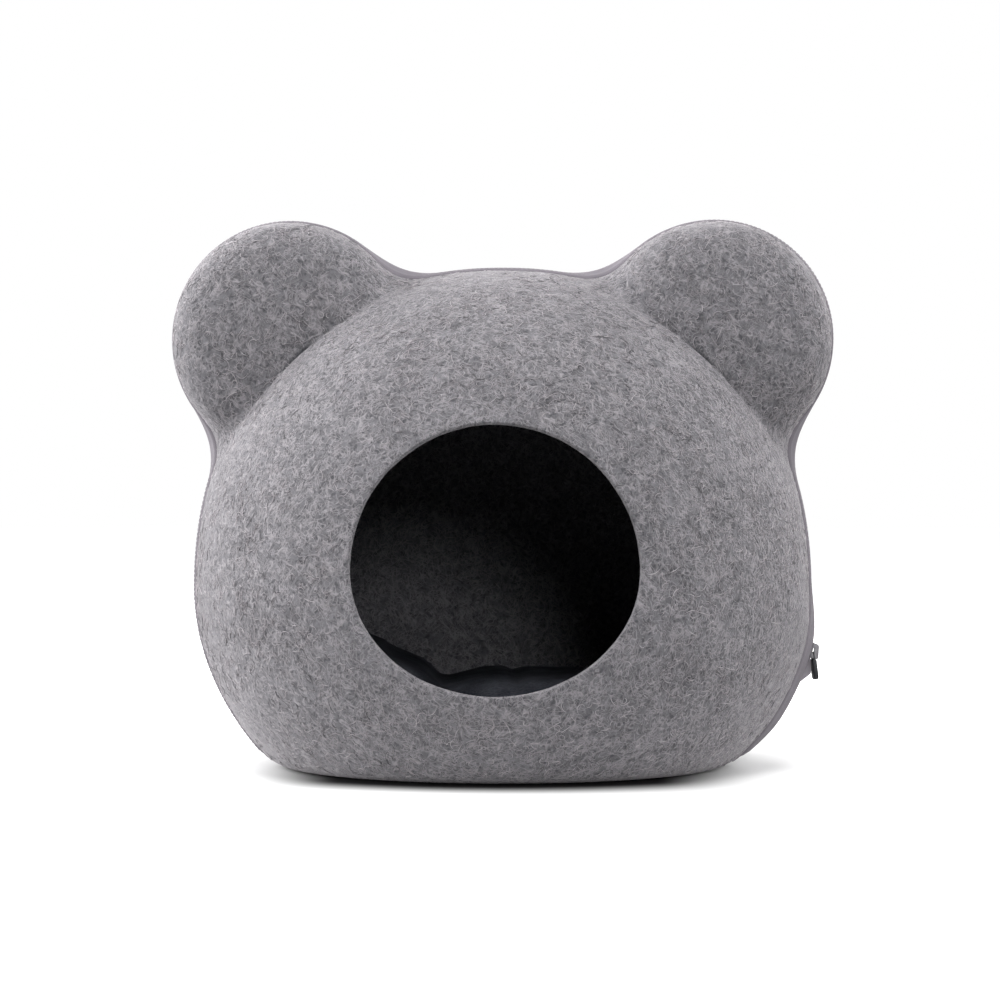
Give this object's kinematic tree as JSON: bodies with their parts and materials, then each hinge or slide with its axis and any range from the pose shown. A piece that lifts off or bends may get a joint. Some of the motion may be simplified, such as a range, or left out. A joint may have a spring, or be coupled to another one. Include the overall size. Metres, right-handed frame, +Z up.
{
  "type": "felt cat cave",
  "caption": "Free-standing hollow pet bed of moulded grey felt with round ears, a round front entrance, a zip along the seam and a loose dark cushion inside.",
  "frame": {"origin": "middle of the base, on the surface that the cave stands on, under the seam", "axes": "+X to the right seen from the front, the entrance faces -Y, +Z up"},
  "size_m": [0.4826, 0.3459, 0.3993],
  "materials": {
    "felt": "thick needled felt in marled mid grey, matte and slightly hairy",
    "zip_tape": "woven tape in light mauve grey, matte",
    "zip_coil": "nylon teeth, dull",
    "slider_metal": "satin grey paint",
    "pull_metal": "satin dark grey paint",
    "cushion_cloth": "smooth dark navy woven cover, slightly crinkled"
  },
  "bodies": {
    "root": {"front_shell": "felt", "back_shell": "felt", "zip_tape_front": "zip_tape", "zip_tape_back": "zip_tape", "zip_end_tab": "zip_tape", "zip_coil": "zip_coil", "zip_slider": "slider_metal", "zip_pull": "pull_metal", "cushion": "cushion_cloth"}
  },
  "joints": []
}
